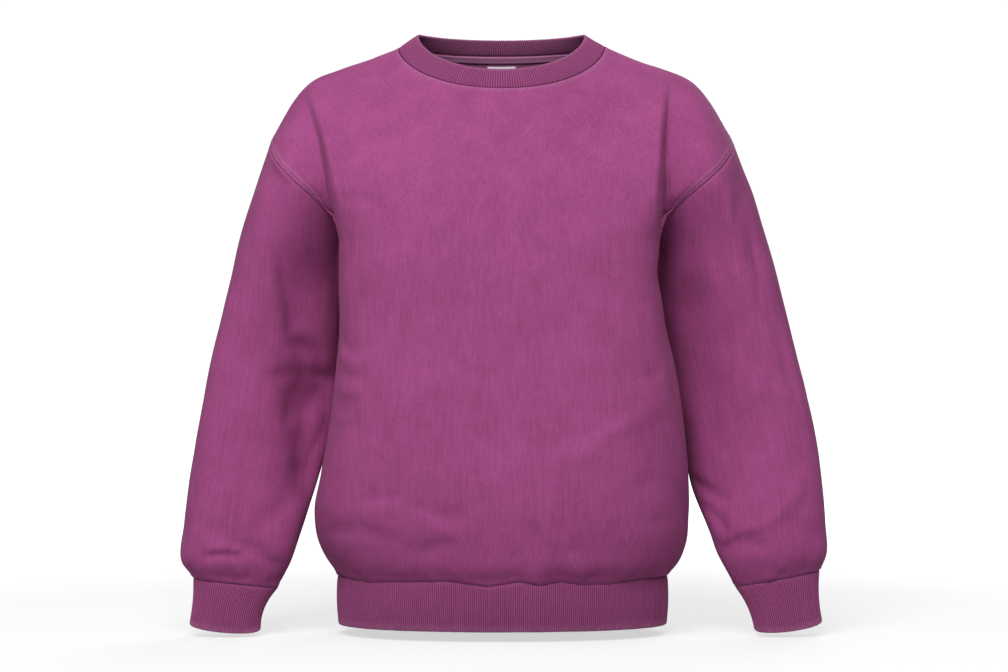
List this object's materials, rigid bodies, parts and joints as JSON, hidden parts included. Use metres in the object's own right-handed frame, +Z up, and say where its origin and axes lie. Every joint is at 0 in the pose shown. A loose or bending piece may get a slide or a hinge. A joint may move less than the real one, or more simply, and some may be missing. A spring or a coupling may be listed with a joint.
{
  "type": "crewneck sweatshirt",
  "caption": "crewneck sweatshirt in its worn, filled-out shape with nobody in it: set-in long sleeves, ribbed neckband, cuffs and hem band, open at neck, hem and cuffs",
  "frame": {"origin": "middle of the neck opening at the height of the neck's side points, where the wearer's shoulders and neck hold the garment up", "axes": "+X to the wearer's left, across the sleeves; +Y from front to back; +Z up"},
  "size_m": [0.7487, 0.2821, 0.6985],
  "materials": {
    "fleece": "matte garment-dyed cotton fleece, plum magenta, faintly mottled",
    "rib": "matte 1x1 rib knit, plum magenta, paler on the rib tops",
    "tape": "matte jersey tape, pale plum",
    "label": "plain off-white woven cloth, unprinted"
  },
  "bodies": {
    "root": {"front": "fleece", "back": "fleece", "sleeve_right": "fleece", "sleeve_left": "fleece", "neckband": "rib", "cuff_right": "rib", "cuff_left": "rib", "hem_band": "rib", "neck_tape": "tape", "label": "label"}
  },
  "joints": []
}
